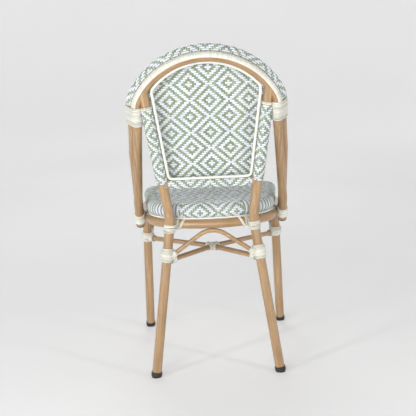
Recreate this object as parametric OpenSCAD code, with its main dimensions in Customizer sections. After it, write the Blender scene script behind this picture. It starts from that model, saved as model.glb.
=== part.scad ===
// Stacking chair: bent tube frame with a woven seat and back, cord lashings and domed feet.
// X runs across the chair, the sitter faces -Y, +Z is up, the feet rest on z = 0.

/* [Main sizes] */
// Height of the seat's lower ring, centre of the tube
ring_z = 411; // [380:1:440]
// Lean of the back from upright, in degrees
back_lean = 15; // [8:0.5:20]
// Half the spread of the rear feet
rear_foot_x = 168; // [140:1:200]
// Half the spread of the front feet
front_foot_x = 206; // [180:1:230]

/* [Tubes] */
// Diameter of the two hoops
hoop_d = 24; // [20:0.5:28]
// Diameter of the four legs
leg_d = 26; // [22:0.5:30]
// Diameter of the seat's lower ring
ring_d = 24; // [20:0.5:28]
// Diameter of the tube hidden in the seat's rolled edge
core_d = 34; // [28:1:36]
// Diameter of the crossbar at the bottom of the back
crossbar_d = 20; // [16:0.5:24]
// Diameter of the crossed stretchers
stretcher_d = 14; // [12:0.5:16]
// Diameter of the two arches under the seat
arch_d = 12; // [10:0.5:14]
// Wall of every tube
wall = 1.5; // [1.2:0.1:2.5]

/* [Weave and cord] */
// Thickness of the weave where it wraps a tube
weave_t = 2.5; // [2:0.1:4]
// Thickness of the lashings
cord_t = 3; // [2:0.1:4]
// Diameter of the seat's rolled edge
roll_d = 40; // [38:1:44]
// Diameter of the piping around the back
back_piping_d = 8; // [5:0.5:10]
// Diameter of the piping around the seat
seat_piping_d = 5; // [3:0.5:6]

/* [Feet] */
// Diameter of the foot glides
glide_d = 29; // [27:0.5:34]
// Height of the foot glides
glide_h = 15; // [10:0.5:22]

/* [Hidden] */
$fn = 48;

// Colours
tube_col = [0.69, 0.55, 0.39];
cord_col = [0.95, 0.94, 0.89];
weave_col = [0.80, 0.84, 0.80];
rubber_col = [0.12, 0.12, 0.12];

// The back's plane holds the rear hoop: x across, s up the slope, n forward out of it
base_y = 169;
base_z = 500;
function bp(x, s, n) = [x,
    base_y + s * sin(back_lean) - n * cos(back_lean),
    base_z + s * cos(back_lean) + n * sin(back_lean)];

// Arch of the hoops: a wide top arc and tighter shoulders
arc_s = 166;
rear_top_r = 194;
front_top_r = 207;
rear_half = 177;
front_half = 190;
front_n = 21;

// Path points, left side (+X)
hoop_rear_low = [199, 7, 378];
hoop_front_low = [200, -22.5, 378];
hoop_end_z = 388;
rear_foot = [rear_foot_x, 185, 0];
rear_knee = [109, 168, 425];
rear_waist = [120, 176, 500];
rear_top = [157.4, 241.3, 770];
front_foot = [front_foot_x, -262, 0];
front_top = [190.5, -158, ring_z];
crossbar_z = 523.5;
crossbar_y = 181.7;

function flip(p) = [-p[0], p[1], p[2]];
function along(a, b, z) = a + (b - a) * (z - a[2]) / (b[2] - a[2]);
function rear_leg_at(z) = along(rear_foot, rear_knee, z);
function front_leg_at(z) = along(front_foot, front_top, z);
function upright_at(z) = along(rear_waist, rear_top, z);
rear_leg_start = rear_leg_at(6);
front_leg_start = front_leg_at(6);

hoop_rear_path = [hoop_rear_low, [198.5, 58.7, 452], bp(rear_half, 185, 0), bp(rear_half, 247, 0),
    bp(0, 561, 0), bp(-rear_half, 247, 0), bp(-rear_half, 185, 0), [-198.5, 58.7, 452],
    flip(hoop_rear_low)];
hoop_rear_bends = [0, 300, 100, 58, rear_top_r, 58, 100, 300, 0];
hoop_front_path = [hoop_front_low, [197.5, 132.4, 600], [front_half, 196.2, 688.3],
    bp(front_half, 250.4, front_n), bp(0, 587.7, front_n), bp(-front_half, 250.4, front_n),
    [-front_half, 196.2, 688.3], [-197.5, 132.4, 600], flip(hoop_front_low)];
hoop_front_bends = [0, 400, 90, 70, front_top_r, 70, 90, 400, 0];
rear_leg_path = [rear_leg_start, rear_knee, rear_waist, rear_top];
rear_leg_bends = [0, 150, 150, 0];

// Plan of the seat ring, a closed loop of corners and their bend radii
ring_plan = [[66, 165.5], [160, 110], [173.5, 24], [193, -190], [-193, -190], [-173.5, 24],
    [-160, 110], [-66, 165.5]];
ring_bends = [200, 100, 300, 46, 46, 300, 100, 200];
roll_inset = 14;
roll_z = 444;
seat_top_z = 460;
seat_sheet_t = 3;

// Stretchers and arches
stretch_rear = rear_leg_at(316);
stretch_front = front_leg_at(304);
cross_t = stretch_rear[0] / (stretch_rear[0] + stretch_front[0]);
stretch_mid = [0, stretch_rear[1] + (stretch_front[1] - stretch_rear[1]) * cross_t, 319.5];
stretch_path = [stretch_rear, stretch_mid, flip(stretch_front)];
stretch_bends = [0, 200, 0];
arch_rear_path = [rear_leg_at(321), [0, 165.5, 406], flip(rear_leg_at(321))];
arch_rear_bends = [0, 60, 0];
arch_front_path = [front_leg_at(313), [146, -190, 392.8], [-146, -190, 392.8],
    flip(front_leg_at(313))];
arch_front_bends = [0, 50, 50, 0];

// ---- Tube building ----

function unit(v) = v / norm(v);
function turn(a, b, c) = acos(max(-1, min(1, unit(b - a) * unit(c - b))));
function trim(p, r, i) = (i == 0 || i == len(p) - 1) ? 0
    : r[i] * tan(turn(p[i - 1], p[i], p[i + 1]) / 2);

// Straight run from a to b
module run(a, b, d) {
    v = b - a;
    translate(a)
        rotate([0, acos(v[2] / norm(v)), atan2(v[1], v[0])])
            cylinder(d = d, h = norm(v));
}

// Round bend at b, between the directions a-b and b-c
module elbow(a, b, c, r, d) {
    u = unit(b - a);
    w = unit(c - b);
    ang = turn(a, b, c);
    centre = b + unit(w - u) * r / cos(ang / 2);
    start = b - u * r * tan(ang / 2);
    x = unit(start - centre);
    z = cross(x, u);
    multmatrix([[x[0], u[0], z[0], centre[0]],
            [x[1], u[1], z[1], centre[1]],
            [x[2], u[2], z[2], centre[2]],
            [0, 0, 0, 1]])
        rotate_extrude(angle = ang)
            translate([r, 0])
                circle(d = d);
}

// Solid rod through the points p, bent to the radii r. Straight runs reach a little into
// the bends and are a hair thinner, so that the two join cleanly.
lap = 0.2;
function slim(d) = d * 0.985 - 0.05;
module rod(p, r, d) {
    last = len(p) - 1;
    for (i = [0 : last - 1]) {
        dir = unit(p[i + 1] - p[i]);
        run(p[i] + dir * (trim(p, r, i) - (i > 0 ? lap : 0)),
            p[i + 1] - dir * (trim(p, r, i + 1) - (i + 1 < last ? lap : 0)),
            last > 1 ? slim(d) : d);
    }
    for (i = [1 : 1 : last - 1])
        elbow(p[i - 1], p[i], p[i + 1], r[i], d);
}

// Straight solid bar
module bar(a, b, d) {
    run(a, b, d);
}

// The same points with both ends pulled out by e
function longer(p, e) = [for (i = [0 : len(p) - 1])
    i == 0 ? p[0] - unit(p[1] - p[0]) * e
    : i == len(p) - 1 ? p[i] + unit(p[i] - p[i - 1]) * e : p[i]];

module tube(p, r, d) {
    difference() {
        rod(p, r, d);
        rod(longer(p, 1), r, d - 2 * wall);
    }
}

module hollow_bar(a, b, d) {
    e = unit(b - a);
    difference() {
        bar(a, b, d);
        bar(a - e, b + e, d - 2 * wall);
    }
}

// Closed rod through plan corners at height z
function at(q, z) = [q[0], q[1], z];
function nth(q, i) = q[(i + len(q)) % len(q)];
function plan_trim(q, r, i) = nth(r, i)
    * tan(turn(at(nth(q, i - 1), 0), at(nth(q, i), 0), at(nth(q, i + 1), 0)) / 2);
module loop(q, r, z, d) {
    for (i = [0 : len(q) - 1]) {
        a = at(nth(q, i), z);
        b = at(nth(q, i + 1), z);
        dir = unit(b - a);
        run(a + dir * (plan_trim(q, r, i) - lap), b - dir * (plan_trim(q, r, i + 1) - lap),
            slim(d));
        elbow(at(nth(q, i - 1), z), a, b, nth(r, i), d);
    }
}

module mirror_if(side) {
    if (side < 0)
        mirror([1, 0, 0])
            children();
    else
        children();
}

// Draws children in the back's plane: local x, y, z are x, s, n
module in_back_plane() {
    translate([0, base_y, base_z])
        rotate([90 - back_lean, 0, 0])
            children();
}

// Where a hoop's tube ends, and its path from one end to the other
function hoop_end(path) = along(path[0], path[1], hoop_end_z);
function cut_ends(path) = [
    for (i = [0:len(path) - 1])
        i == 0 ? hoop_end(path) : i == len(path) - 1 ? flip(hoop_end(path)) : path[i]
];

// ---- Solid envelopes used to cope one piece to another ----

module rear_hoop_solid(grow = 0) {
    rod(hoop_rear_path, hoop_rear_bends, hoop_d + 2 * grow);
}

module front_hoop_solid(grow = 0) {
    rod(hoop_front_path, hoop_front_bends, hoop_d + 2 * grow);
}

module rear_leg_solid(grow = 0) {
    rod(rear_leg_path, rear_leg_bends, leg_d + 2 * grow);
}

module front_leg_solid(grow = 0) {
    bar(front_leg_start, front_top, leg_d + 2 * grow);
}

module ring_solid(grow = 0) {
    loop(ring_plan, ring_bends, ring_z, ring_d + 2 * grow);
}

// Everything beyond the rear hoop's centre line, w thick through the back's plane
module outside_arch(w) {
    in_back_plane()
        translate([0, arc_s, -w / 2])
            difference() {
                translate([-240, 0, 0])
                    cube([480, 240, w]);
                translate([0, 0, -1])
                    cylinder(r = rear_top_r, h = w + 2);
            }
}

module stretcher_solid(grow = 0) {
    rod(stretch_path, stretch_bends, stretcher_d + 2 * grow);
}

// ---- Hoops ----

module hoop_rear() {
    color(tube_col)
        tube(cut_ends(hoop_rear_path), hoop_rear_bends, hoop_d);
}

module hoop_front() {
    color(tube_col)
        tube(cut_ends(hoop_front_path), hoop_front_bends, hoop_d);
}

// ---- Legs ----

module rear_leg(side) {
    color(tube_col)
        mirror_if(side)
            difference() {
                tube(rear_leg_path, rear_leg_bends, leg_d);
                rear_hoop_solid();
                outside_arch(60);
            }
}

module front_leg(side) {
    color(tube_col)
        mirror_if(side)
            difference() {
                hollow_bar(front_leg_start, front_top, leg_d);
                ring_solid();
            }
}

// ---- Seat frame ----

module seat_ring() {
    color(tube_col)
        difference() {
            ring_solid();
            loop(ring_plan, ring_bends, ring_z, ring_d - 2 * wall);
        }
}

// Ring plan moved inward by e
function inward(a, b) = [unit(b - a)[1], -unit(b - a)[0]];
function inset_plan(q, e) = [for (i = [0 : len(q) - 1])
    let (m = inward(nth(q, i - 1), q[i]), n = inward(q[i], nth(q, i + 1)))
        q[i] + (m + n) * e / (1 + m * n)];
roll_plan = inset_plan(ring_plan, roll_inset);
roll_bends = [for (r = ring_bends) r - roll_inset];

module seat_core_tube() {
    color(tube_col)
        difference() {
            loop(roll_plan, roll_bends, roll_z, core_d);
            loop(roll_plan, roll_bends, roll_z, core_d - 2 * wall);
        }
}

// ---- Bars under the seat ----

module back_crossbar() {
    a = [upright_at(crossbar_z)[0], crossbar_y, crossbar_z];
    color(tube_col)
        difference() {
            hollow_bar(a, flip(a), crossbar_d);
            rear_leg_solid();
            mirror([1, 0, 0])
                rear_leg_solid();
        }
}

module leg_pair_solids() {
    for (side = [1, -1])
        mirror_if(side) {
            rear_leg_solid();
            front_leg_solid();
        }
}

module stretcher_long() {
    color(tube_col)
        difference() {
            tube(stretch_path, stretch_bends, stretcher_d);
            leg_pair_solids();
        }
}

// Each short stretcher runs from a leg to the side of the long one
module stretcher_short(end) {
    e = unit(end - stretch_mid);
    color(tube_col)
        difference() {
            hollow_bar(end, stretch_mid + e * 3, stretcher_d);
            stretcher_solid();
            leg_pair_solids();
        }
}

module rear_arch() {
    color(tube_col)
        difference() {
            tube(arch_rear_path, arch_rear_bends, arch_d);
            leg_pair_solids();
        }
}

module front_arch() {
    color(tube_col)
        difference() {
            tube(arch_front_path, arch_front_bends, arch_d);
            leg_pair_solids();
        }
}

// ---- Woven back ----

// The sheet in front of the uprights: its own plane, x across and t up the slope
sheet_origin = [0, 167, 527];
sheet_lean = 13.3;
sheet_t = 4;

module sheet_outline() {
    a = upright_at(crossbar_z)[0];
    b = upright_at(731)[0];
    polygon([[-a, 0], [a, 0], [b, 214], [b, 230], [-b, 230], [-b, 214]]);
    intersection() {
        translate([0, 141.2])
            circle(r = 195.3, $fn = 96);
        translate([-178, 206])
            square([356, 200]);
    }
}

module back_weave() {
    low = [upright_at(crossbar_z)[0], crossbar_y, crossbar_z];
    color(weave_col)
        union() {
            translate(sheet_origin)
                rotate([90 - sheet_lean, 0, 0])
                    translate([0, 0, -sheet_t / 2])
                        linear_extrude(height = sheet_t)
                            sheet_outline();
            difference() {
                union() {
                    bar(low, flip(low), crossbar_d + 2 * weave_t);
                    for (side = [1, -1])
                        mirror_if(side)
                            bar(upright_at(528), upright_at(724), leg_d + 2 * weave_t);
                }
                bar(low, flip(low), crossbar_d);
                for (side = [1, -1])
                    mirror_if(side)
                        bar(upright_at(504), upright_at(735), leg_d);
            }
            difference() {
                front_arch_cover(weave_t);
                front_arch_cover(0);
                below_shoulder(239);
                in_back_plane()
                    translate([-300, 100, -40])
                        cube([600, 400, 52]);
            }
        }
}

// Rod over the front hoop's arch only
module front_arch_cover(grow) {
    rod([bp(front_half, 222, front_n), bp(front_half, 250.4, front_n), bp(0, 587.7, front_n),
        bp(-front_half, 250.4, front_n), bp(-front_half, 222, front_n)],
        [0, 70, front_top_r, 70, 0], hoop_d + 2 * grow);
}

// Rod over the rear hoop's arch only
module rear_arch_cover(grow) {
    rod([bp(rear_half, 222, 0), bp(rear_half, 247, 0), bp(0, 561, 0),
        bp(-rear_half, 247, 0), bp(-rear_half, 222, 0)],
        [0, 58, rear_top_r, 58, 0], hoop_d + 2 * grow);
}

// Everything in the back's plane lower than s
module below_shoulder(s) {
    in_back_plane()
        translate([-300, s - 300, -80])
            cube([600, 300, 200]);
}

module back_binding_band() {
    color(cord_col)
        difference() {
            rear_arch_cover(2);
            rear_arch_cover(0);
            below_shoulder(239);
            in_back_plane() {
                translate([-300, 0, 1])
                    cube([600, 600, 60]);
                translate([0, 0, -40])
                    linear_extrude(height = 80)
                        intersection() {
                            translate([0, arc_s])
                                circle(r = rear_top_r, $fn = 96);
                            translate([-rear_half, 0])
                                square([2 * rear_half, 600]);
                        }
            }
        }
}

// Piping around the recess of the back
piping_low = [106, 191, 538];
piping_high = bp(136, 281, -8.5);
module back_piping() {
    q = [[0, piping_low[1], piping_low[2]], piping_low, piping_high, bp(0, 442.5, 22.5),
        flip(piping_high), flip(piping_low), [0, piping_low[1], piping_low[2]]];
    color(cord_col)
        rod(q, [0, 12, 20, 175, 20, 12, 0], back_piping_d);
}

module upright_tie(side) {
    color(cord_col)
        mirror_if(side)
            difference() {
                bar(upright_at(725), upright_at(730.5), leg_d + 2 * cord_t);
                bar(upright_at(720), upright_at(736), leg_d);
                translate([162, 160, 700])
                    cube([40, 120, 60]);
            }
}

// Cord bound round both hoops at the shoulder
module shoulder_block() {
    intersection() {
        union() {
            rear_hoop_solid(weave_t);
            front_hoop_solid(weave_t);
        }
        in_back_plane()
            translate([120, 190, -40])
                cube([100, 48.5, 110]);
    }
}

module shoulder_wrap(side) {
    color(cord_col)
        mirror_if(side)
            difference() {
                shoulder_block();
                rear_hoop_solid();
                front_hoop_solid();
                rear_leg_solid(weave_t);
            }
}

// ---- Woven seat ----

module seat_weave() {
    color(weave_col)
        difference() {
            union() {
                loop(roll_plan, roll_bends, roll_z, roll_d);
                translate([0, 0, seat_top_z - seat_sheet_t])
                    linear_extrude(height = seat_sheet_t)
                        polygon(inset_plan(roll_plan, 4));
            }
            loop(roll_plan, roll_bends, roll_z, core_d);
        }
}

module seat_piping_solid() {
    loop(ring_plan, ring_bends, ring_z + 15.1, seat_piping_d);
}

module seat_piping() {
    color(cord_col)
        seat_piping_solid();
}

// ---- Lashings ----

// A point on the ring's rear corner run, x across
function rear_run(x) = [x, 165.5 - (x - 66) * 55.5 / 94, ring_z];

module rear_leg_lashing(side) {
    color(cord_col)
        mirror_if(side)
            difference() {
                union() {
                    bar(rear_leg_at(392), rear_leg_at(416), leg_d + 2 * cord_t);
                    bar(rear_run(96), rear_run(121), ring_d + 2 * cord_t);
                    bar(rear_run(84), rear_run(88), ring_d + 2 * cord_t);
                }
                rear_leg_solid();
                ring_solid();
                seat_piping_solid();
                loop(roll_plan, roll_bends, roll_z, roll_d);
            }
}

module rear_stretcher_wrap(side) {
    a = unit(arch_rear_path[1] - arch_rear_path[0]);
    b = unit(stretch_path[1] - stretch_path[0]);
    color(cord_col)
        mirror_if(side)
            difference() {
                union() {
                    bar(rear_leg_at(313), rear_leg_at(351), leg_d + 2 * cord_t);
                    bar(arch_rear_path[0] + a * 6, arch_rear_path[0] + a * 32, arch_d + 2 * cord_t);
                    bar(stretch_path[0] + b * 6, stretch_path[0] + b * 32, stretcher_d + 2 * cord_t);
                }
                rear_leg_solid();
                rod(arch_rear_path, arch_rear_bends, arch_d);
                bar(stretch_path[0], stretch_mid, stretcher_d + 0.04);
            }
}

module front_stretcher_wrap(side) {
    a = unit(arch_front_path[1] - arch_front_path[0]);
    b = unit(flip(stretch_path[1]) - flip(stretch_path[2]));
    p = flip(stretch_path[2]);
    color(cord_col)
        mirror_if(side)
            difference() {
                union() {
                    bar(front_leg_at(296), front_leg_at(324), leg_d + 2 * cord_t);
                    bar(arch_front_path[0] + a * 4, arch_front_path[0] + a * 24, arch_d + 2 * cord_t);
                    bar(p + b * 6, p + b * 32, stretcher_d + 2 * cord_t);
                }
                front_leg_solid();
                rod(arch_front_path, arch_front_bends, arch_d);
                bar(p, stretch_mid, stretcher_d + 0.04);
            }
}

// Middle of the narrow gap between the two hoops' lower runs
function hoop_gap(z) = (along(hoop_rear_path[0], hoop_rear_path[1], z)
    + along(hoop_front_path[0], hoop_front_path[1], z)) / 2;

module hoop_end_wrap(side) {
    color(cord_col)
        mirror_if(side)
            difference() {
                union() {
                    intersection() {
                        union() {
                            rear_hoop_solid(cord_t);
                            front_hoop_solid(cord_t);
                        }
                        translate([150, -38, 397])
                            cube([100, 110, 25]);
                    }
                    bar([174.8, 10, ring_z], [173.8, 20, ring_z], ring_d + 2 * cord_t);
                }
                rear_hoop_solid();
                front_hoop_solid();
                bar(hoop_gap(389), hoop_gap(430), 6);
                ring_solid();
                seat_piping_solid();
                loop(roll_plan, roll_bends, roll_z, roll_d);
            }
}

// Cord bound round the crossing of the stretchers
module centre_wrap() {
    d = unit(stretch_path[0] - stretch_mid) * 20;
    e = flip(d);
    color(cord_col)
        difference() {
            union() {
                bar(stretch_mid - d, stretch_mid + d, stretcher_d + 2 * cord_t);
                bar(stretch_mid - e, stretch_mid + e, stretcher_d + 2 * cord_t + 0.6);
            }
            stretcher_solid();
            bar(stretch_mid, flip(stretch_rear), stretcher_d + 0.04);
            bar(stretch_mid, stretch_front, stretcher_d + 0.04);
        }
}

// ---- Feet and plugs ----

module foot_glide(foot, up, side) {
    v = up - foot;
    color(rubber_col)
        mirror_if(side)
            difference() {
                intersection() {
                    translate(foot)
                        rotate([0, acos(v[2] / norm(v)), atan2(v[1], v[0])])
                            rotate([0, 0, 37])
                                rotate_extrude()
                                    polygon([[0, -8], [9.2, -8], [glide_d / 2, 5],
                                        [glide_d / 2, glide_h], [0, glide_h]]);
                    translate([foot[0] - 50, foot[1] - 50, 0])
                        cube([100, 100, 60]);
                }
                bar(along(foot, up, 6), up, leg_d);
            }
}

module hoop_plug(end, next, side) {
    dir = unit(next - end);
    color(rubber_col)
        mirror_if(side)
            union() {
                bar(end - dir * 3, end, hoop_d);
                bar(end - dir * 1, end + dir * 12, hoop_d - 2 * wall - 0.1);
            }
}

hoop_rear();
hoop_front();
rear_leg(1);  // rear_leg_left
rear_leg(-1);  // rear_leg_right
back_crossbar();
seat_ring();
seat_core_tube();
front_leg(1);  // front_leg_left
front_leg(-1);  // front_leg_right
stretcher_long();
stretcher_short(flip(stretch_rear));  // stretcher_short_rear
stretcher_short(stretch_front);  // stretcher_short_front
rear_arch();
front_arch();
back_weave();
back_piping();
back_binding_band();
upright_tie(1);  // upright_tie_left
upright_tie(-1);  // upright_tie_right
shoulder_wrap(1);  // shoulder_wrap_left
shoulder_wrap(-1);  // shoulder_wrap_right
seat_weave();
seat_piping();
rear_leg_lashing(1);  // rear_leg_lashing_left
rear_leg_lashing(-1);  // rear_leg_lashing_right
rear_stretcher_wrap(1);  // rear_stretcher_wrap_left
rear_stretcher_wrap(-1);  // rear_stretcher_wrap_right
front_stretcher_wrap(1);  // front_stretcher_wrap_left
front_stretcher_wrap(-1);  // front_stretcher_wrap_right
hoop_end_wrap(1);  // hoop_end_wrap_left
hoop_end_wrap(-1);  // hoop_end_wrap_right
centre_wrap();
foot_glide(rear_foot, rear_knee, 1);  // foot_glide_rear_left
foot_glide(rear_foot, rear_knee, -1);  // foot_glide_rear_right
foot_glide(front_foot, front_top, 1);  // foot_glide_front_left
foot_glide(front_foot, front_top, -1);  // foot_glide_front_right
hoop_plug(hoop_end(hoop_rear_path), hoop_rear_path[1], 1);  // plug_rear_hoop_left
hoop_plug(hoop_end(hoop_rear_path), hoop_rear_path[1], -1);  // plug_rear_hoop_right
hoop_plug(hoop_end(hoop_front_path), hoop_front_path[1], 1);  // plug_front_hoop_left
hoop_plug(hoop_end(hoop_front_path), hoop_front_path[1], -1);  // plug_front_hoop_right
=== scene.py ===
import math

import bpy
import numpy as np
from mathutils import Matrix, Vector


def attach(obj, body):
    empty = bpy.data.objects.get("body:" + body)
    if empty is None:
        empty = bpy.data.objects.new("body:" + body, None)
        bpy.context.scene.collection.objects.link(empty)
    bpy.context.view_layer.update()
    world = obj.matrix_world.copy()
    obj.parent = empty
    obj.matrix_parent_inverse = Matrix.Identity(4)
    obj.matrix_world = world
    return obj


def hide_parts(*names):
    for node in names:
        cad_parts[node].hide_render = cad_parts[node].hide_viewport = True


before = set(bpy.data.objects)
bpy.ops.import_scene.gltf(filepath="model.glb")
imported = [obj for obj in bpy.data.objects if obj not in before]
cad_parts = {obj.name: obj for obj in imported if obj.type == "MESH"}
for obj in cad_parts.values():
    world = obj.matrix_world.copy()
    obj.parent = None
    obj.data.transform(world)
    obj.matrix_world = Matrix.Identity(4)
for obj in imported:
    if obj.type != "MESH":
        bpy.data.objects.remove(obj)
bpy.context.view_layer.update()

# The object's lengths below are millimetres in the CAD frame, and make_piece() turns them into
# metres. Shader scales, floor, lights and camera are in metres.
rng = np.random.default_rng(7)
X, Y, Z = np.eye(3)


def arr(*p):
    return np.array(p, float)


def unit(v):
    v = np.asarray(v, float)
    return v / np.linalg.norm(v, axis=-1, keepdims=True)


def add_object(name, data):
    thing = bpy.data.objects.new(name, data)
    bpy.context.scene.collection.objects.link(thing)
    return thing


# ---- The frame's own geometry, the same as in model.glb ----

LEAN = math.radians(15)
UP_SLOPE = arr(0, math.sin(LEAN), math.cos(LEAN))
FORWARD = arr(0, -math.cos(LEAN), math.sin(LEAN))
BACK_ORIGIN = arr(0, 169, 500)


def back(x, s, n):
    """A point of the back: x across, s up its slope, n forward out of the rear hoop's plane."""
    return BACK_ORIGIN + X * x + UP_SLOPE * s + FORWARD * n


def between(a, b, z):
    """The point of the line a-b at height z."""
    return a + (b - a) * (z - a[2]) / (b[2] - a[2])


# Radii of the tubes
HOOP_R = 12.0
LEG_R = 13.0
RING_R = 12.0
BAR_R = 10.0
STRETCHER_R = 7.0
ARCH_R = 6.0

# Ends of the legs' straight runs, then the corners and bend radii of the hoops and the seat ring
REAR_FOOT, REAR_KNEE = arr(168, 185, 0), arr(109, 168, 425)
REAR_WAIST, REAR_TOP = arr(120, 176, 500), arr(157.4, 241.3, 770)
FRONT_FOOT, FRONT_TOP = arr(206, -262, 0), arr(190.5, -158, 411)
HOOP_REAR = [arr(198.93, 14, 388), arr(198.5, 58.7, 452), back(177, 185, 0), back(177, 247, 0),
             back(0, 561, 0), back(-177, 247, 0), back(-177, 185, 0), arr(-198.5, 58.7, 452),
             arr(-198.93, 14, 388)]
HOOP_REAR_BENDS = [0, 300, 100, 58, 194, 58, 100, 300, 0]
HOOP_FRONT = [arr(199.89, -15.5, 388), arr(197.5, 132.4, 600), arr(190, 196.2, 688.3),
              back(190, 250.4, 21), back(0, 587.7, 21), back(-190, 250.4, 21),
              arr(-190, 196.2, 688.3), arr(-197.5, 132.4, 600), arr(-199.89, -15.5, 388)]
HOOP_FRONT_BENDS = [0, 400, 90, 70, 207, 70, 90, 400, 0]
RING_Z = 411.0
RING = [arr(66, 165.5), arr(160, 110), arr(173.5, 24), arr(193, -190), arr(-193, -190),
        arr(-173.5, 24), arr(-160, 110), arr(-66, 165.5)]
RING_BENDS = [200, 100, 300, 46, 46, 300, 100, 200]
# The seat's rolled edge: how far inside the ring's line it runs, its height and its radius
ROLL_INSET, ROLL_Z, ROLL_R = 14.0, 444.0, 20.0
# How far up the back's slope the covers of the two arches start
COVER_FROM = 238.0


def rear_leg(z):
    return between(REAR_FOOT, REAR_KNEE, z)


def front_leg(z):
    return between(FRONT_FOOT, FRONT_TOP, z)


def upright(z):
    return between(REAR_WAIST, REAR_TOP, z)


def flip(p):
    return arr(-p[0], p[1], p[2])


# Centre line of the back's crossbar
BAR_Y, BAR_Z = 181.7, 523.5
# Where the long stretcher meets a rear and a front leg, and where it crosses the chair's middle
STRETCH_REAR, STRETCH_FRONT = rear_leg(316), front_leg(304)
CROSS = STRETCH_REAR[0] / (STRETCH_REAR[0] + STRETCH_FRONT[0])
STRETCH_MID = arr(0, STRETCH_REAR[1] + (STRETCH_FRONT[1] - STRETCH_REAR[1]) * CROSS, 319.5)


# ---- Paths ----

def rounded(corners, radii, closed=False, step=2.0):
    """Points about step apart along a path with round bends at its corners."""
    corners = [np.asarray(c, float) for c in corners]
    count = len(corners)
    out = []
    for i in range(count):
        b = corners[i]
        if not closed and i in (0, count - 1):
            out.append(b[None])
            continue
        a, c = corners[i - 1], corners[(i + 1) % count]
        u, w = unit(b - a), unit(c - b)
        angle = math.acos(max(-1, min(1, float(u @ w))))
        if angle < 1e-4:
            out.append(b[None])
            continue
        centre = b + unit(w - u) * radii[i] / math.cos(angle / 2)
        start = b - u * radii[i] * math.tan(angle / 2)
        e = unit(start - centre)
        k = max(3, int(radii[i] * angle / step) + 2)
        t = np.linspace(0, angle, k)[:, None]
        out.append(centre + radii[i] * (np.cos(t) * e + np.sin(t) * u))
    line = np.concatenate(out)
    if closed:
        line = np.vstack([line, line[:1]])
    return spaced(line, step)


def spaced(line, step):
    """The same line with even spacing."""
    d = np.concatenate([[0], np.cumsum(np.linalg.norm(np.diff(line, axis=0), axis=1))])
    keep = np.concatenate([[True], np.diff(d) > 1e-6])
    d, line = d[keep], line[keep]
    t = np.linspace(0, d[-1], max(2, int(round(d[-1] / step)) + 1))
    return np.stack([np.interp(t, d, line[:, k]) for k in range(line.shape[1])], 1)


def length_of(line):
    return float(np.linalg.norm(np.diff(line, axis=0), axis=1).sum())


def tangents(line, closed=False):
    """Unit direction of a line at each of its points."""
    if closed:
        return unit(np.roll(line, -1, 0) - np.roll(line, 1, 0))
    return unit(np.gradient(line, axis=0))


def inset(corners, e):
    """Plan corners of a loop moved inward by e."""
    def inward(a, b):
        u = unit(b - a)
        return arr(u[1], -u[0])
    out = []
    for i, q in enumerate(corners):
        m, n = inward(corners[i - 1], q), inward(q, corners[(i + 1) % len(corners)])
        out.append(q + (m + n) * e / (1 + m @ n))
    return out


def square_to(axis):
    """Two directions square to an axis and to each other."""
    e = unit(np.cross(axis, Z if abs(axis[2]) < 0.8 else X))
    return e, np.cross(axis, e)


# ---- Mesh building ----

def oval(width, thick):
    """Section of a moulded strand: flat oval, counter-clockwise."""
    w, t = width / 2, thick / 2
    return np.array([(w, 0), (w * 0.55, t), (-w * 0.55, t), (-w, 0), (-w * 0.55, -t),
                     (w * 0.55, -t)])


def disc(radius, sides=8):
    """Section of a round cord, counter-clockwise."""
    a = np.arange(sides) * 2 * math.pi / sides
    return np.stack([np.cos(a), np.sin(a)], 1) * radius


class Strands:
    """Gathers swept strands into one mesh, with a material and a tone for each strand."""

    def __init__(self):
        self.points, self.faces, self.kinds, self.tones = [], [], [], []
        self.count = 0

    def sweep(self, line, across, out, section, closed=False, kind=0, taper=None):
        """Carries a section along a line; across and out are its two axes at each point."""
        line, across, out = (np.asarray(v, float) for v in (line, across, out))
        n, k = len(line), len(section)
        scale = np.ones(n) if taper is None else taper
        p = (line[:, None] + across[:, None] * (section[None, :, :1] * scale[:, None, None])
             + out[:, None] * (section[None, :, 1:] * scale[:, None, None]))
        way = line[1] - line[0]
        if np.cross(across[0], out[0]) @ way < 0:
            p = p[:, ::-1]
        rows = n if closed else n - 1
        i, j = np.arange(rows)[:, None], np.arange(k)[None]
        i2, j2 = (i + 1) % n, (j + 1) % k
        quads = np.stack([i * k + j, i * k + j2, i2 * k + j2, i2 * k + j], -1).reshape(-1, 4)
        faces = [tuple(q) for q in (quads + self.count).tolist()]
        if not closed:
            faces.append(tuple(range(self.count + k - 1, self.count - 1, -1)))
            faces.append(tuple(range(self.count + (n - 1) * k, self.count + n * k)))
        self.points.append(p.reshape(-1, 3))
        self.faces += faces
        self.kinds += [kind] * len(faces)
        self.tones.append(np.full(n * k, rng.uniform(0, 1)))
        self.count += n * k

    def cord(self, line, radius):
        """A round strand along an open line."""
        line = np.asarray(line, float)
        t = tangents(line)
        ref = Z if abs(t[:, 2]).mean() < 0.8 else X
        across = unit(np.cross(t, unit(np.cross(np.cross(t, ref), t))))
        self.sweep(line, across, unit(np.cross(across, t)), disc(radius))


def make_piece(name, strands, materials, replaces=()):
    """Turns gathered strands into a piece that rides on the body and stands for CAD nodes."""
    mesh = bpy.data.meshes.new(name)
    points = np.concatenate(strands.points) / 1000
    mesh.from_pydata(points.tolist(), [], strands.faces)
    for m in materials:
        mesh.materials.append(m)
    mesh.polygons.foreach_set("material_index", np.array(strands.kinds, np.int32))
    mesh.polygons.foreach_set("use_smooth", np.ones(len(strands.faces), bool))
    tone = mesh.attributes.new("tone", "FLOAT", "POINT")
    tone.data.foreach_set("value", np.concatenate(strands.tones).astype(np.float32))
    mesh.update()
    piece = add_object(name, mesh)
    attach(piece, "root")
    if replaces:
        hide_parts(*replaces)


# ---- Materials ----

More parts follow.
